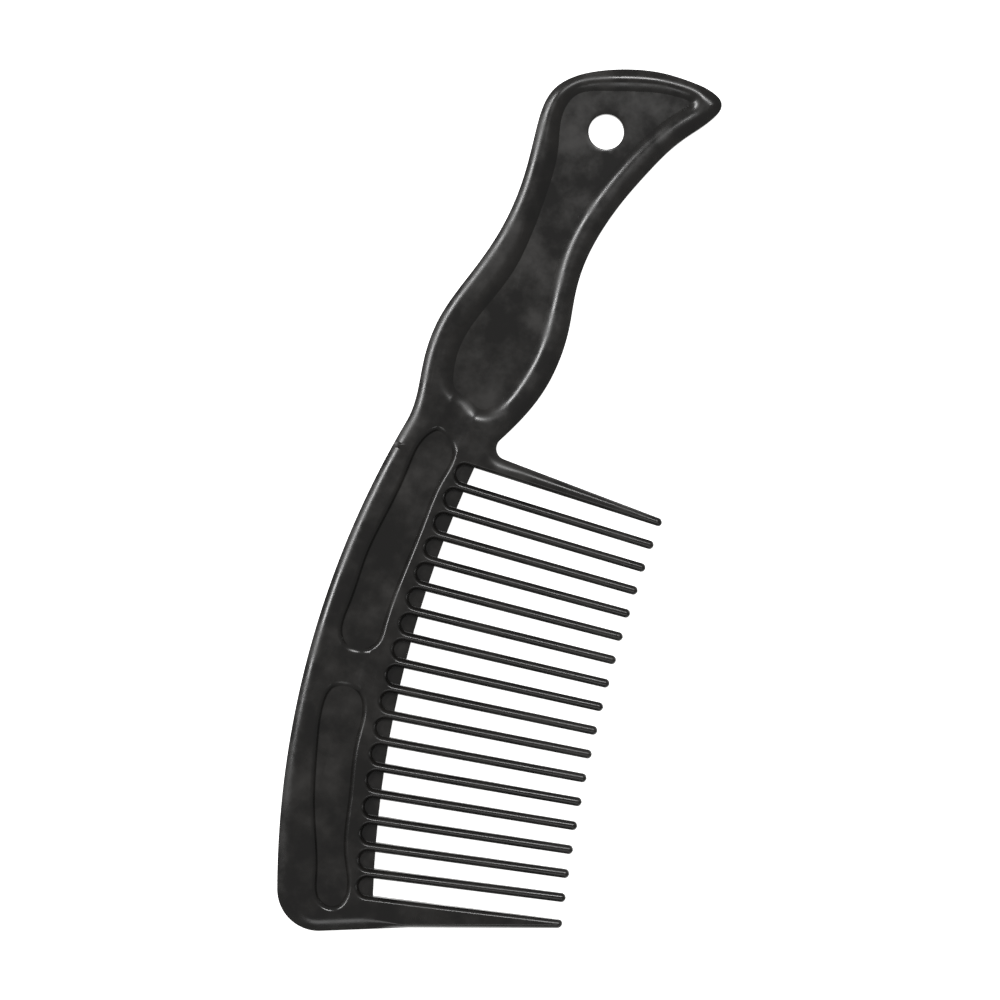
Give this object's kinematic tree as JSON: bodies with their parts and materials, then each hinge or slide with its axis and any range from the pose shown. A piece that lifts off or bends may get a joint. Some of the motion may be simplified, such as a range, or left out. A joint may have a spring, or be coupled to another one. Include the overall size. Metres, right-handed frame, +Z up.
{
  "type": "wide tooth comb",
  "caption": "Flat handled detangling comb with a curved back, long widely spaced tapering teeth, a recessed grip and a hanging hole near the beaked end.",
  "frame": {"origin": "bottom centre of the comb's bounding box, on the face that the comb lies on", "axes": "+Y towards the handle, +X towards the tips of the teeth, +Z up out of the flat comb"},
  "size_m": [0.0844, 0.2404, 0.0056],
  "materials": {
    "comb_moulding": "black injection-moulded plastic, satin gloss, straight from a polished mould"
  },
  "bodies": {
    "root": {"handle": "comb_moulding", "spine": "comb_moulding", "upper_guard_tooth": "comb_moulding", "lower_guard_tooth": "comb_moulding", "tooth_01": "comb_moulding", "tooth_02": "comb_moulding", "tooth_03": "comb_moulding", "tooth_04": "comb_moulding", "tooth_05": "comb_moulding", "tooth_06": "comb_moulding", "tooth_07": "comb_moulding", "tooth_08": "comb_moulding", "tooth_09": "comb_moulding", "tooth_10": "comb_moulding", "tooth_11": "comb_moulding", "tooth_12": "comb_moulding", "tooth_13": "comb_moulding", "tooth_14": "comb_moulding", "tooth_15": "comb_moulding", "tooth_16": "comb_moulding"}
  },
  "joints": []
}
